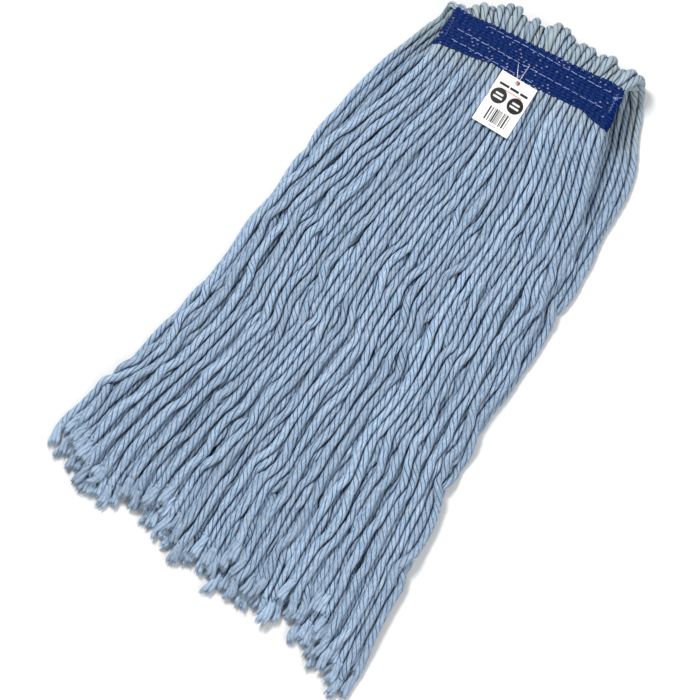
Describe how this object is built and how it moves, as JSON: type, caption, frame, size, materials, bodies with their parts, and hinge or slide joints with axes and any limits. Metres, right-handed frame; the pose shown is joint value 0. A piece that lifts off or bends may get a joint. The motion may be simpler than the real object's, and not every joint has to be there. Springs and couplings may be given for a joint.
{
  "type": "string mop head",
  "caption": "Cut-end string mop head of twisted blend yarn, folded in half at its narrow stitched mesh headband, with a hang tag.",
  "frame": {"origin": "centre of the headband's upper face, where a mop holder's clamp presses", "axes": "+Z out of the headband's upper face, +X along the headband, +Y towards the fold; the cut ends point to -Y"},
  "size_m": [0.3519, 0.6002, 0.0386],
  "materials": {
    "blue_yarn": "matt cotton and synthetic blend yarn, four plies",
    "headband_mesh": "glossy knitted plastic mesh tape",
    "stitch_thread": "polyester sewing thread",
    "tag_card": "smooth printed card",
    "clear_nylon": "clear nylon fastener"
  },
  "bodies": {
    "headband": {"headband_front": "headband_mesh", "headband_back": "headband_mesh", "stitch_row_1": "stitch_thread", "stitch_row_2": "stitch_thread", "stitch_row_3": "stitch_thread", "bar_tack_left": "stitch_thread", "bar_tack_right": "stitch_thread", "yarn_centre_upper": "blue_yarn", "yarn_centre_lower": "blue_yarn", "tag_loop": "clear_nylon"},
    "front_yarn": {"front_upper_tress_1": "blue_yarn", "front_upper_tress_2": "blue_yarn", "front_upper_tress_3": "blue_yarn", "front_upper_tress_4": "blue_yarn", "front_upper_tress_5": "blue_yarn", "front_upper_tress_6": "blue_yarn", "front_upper_tress_7": "blue_yarn", "front_upper_tress_8": "blue_yarn", "front_upper_tress_9": "blue_yarn", "front_lower_tress_1": "blue_yarn", "front_lower_tress_2": "blue_yarn", "front_lower_tress_3": "blue_yarn", "front_lower_tress_4": "blue_yarn", "front_lower_tress_5": "blue_yarn", "front_lower_tress_6": "blue_yarn", "front_lower_tress_7": "blue_yarn", "front_lower_tress_8": "blue_yarn", "front_lower_tress_9": "blue_yarn"},
    "fold_link": {"fold_loops_outer": "blue_yarn", "fold_loops_inner": "blue_yarn"},
    "rear_yarn": {"rear_upper_tress_1": "blue_yarn", "rear_upper_tress_2": "blue_yarn", "rear_upper_tress_3": "blue_yarn", "rear_upper_tress_4": "blue_yarn", "rear_upper_tress_5": "blue_yarn", "rear_upper_tress_6": "blue_yarn", "rear_upper_tress_7": "blue_yarn", "rear_upper_tress_8": "blue_yarn", "rear_upper_tress_9": "blue_yarn", "rear_lower_tress_1": "blue_yarn", "rear_lower_tress_2": "blue_yarn", "rear_lower_tress_3": "blue_yarn", "rear_lower_tress_4": "blue_yarn", "rear_lower_tress_5": "blue_yarn", "rear_lower_tress_6": "blue_yarn", "rear_lower_tress_7": "blue_yarn", "rear_lower_tress_8": "blue_yarn", "rear_lower_tress_9": "blue_yarn"},
    "tag": {"tag": "tag_card"}
  },
  "joints": [
    {"name": "front_lift", "type": "hinge", "parent": "headband", "child": "front_yarn", "pos_m": [0, -0.0168, -0.0013], "axis": [-1, 0, 0], "range_deg": [0, 75]},
    {"name": "fold_open", "type": "hinge", "parent": "headband", "child": "fold_link", "pos_m": [0, 0.0359, -0.00975], "axis": [1, 0, 0], "range_deg": [0, 90], "deforming": ["fold_loops_outer", "fold_loops_inner"]},
    {"name": "rear_open", "type": "hinge", "parent": "fold_link", "child": "rear_yarn", "pos_m": [0, 0.0359, -0.02955], "axis": [1, 0, 0], "range_deg": [0, 90]},
    {"name": "tag_flip", "type": "hinge", "parent": "front_yarn", "child": "tag", "pos_m": [-0.004, -0.0202, -0.00045], "axis": [-0.9945, 0.1045, 0], "range_deg": [0, 90], "deforming": ["tag_loop"]}
  ],
  "couplings": [
    {"joint": "rear_open", "follows": "fold_open", "ratio": 1}
  ]
}
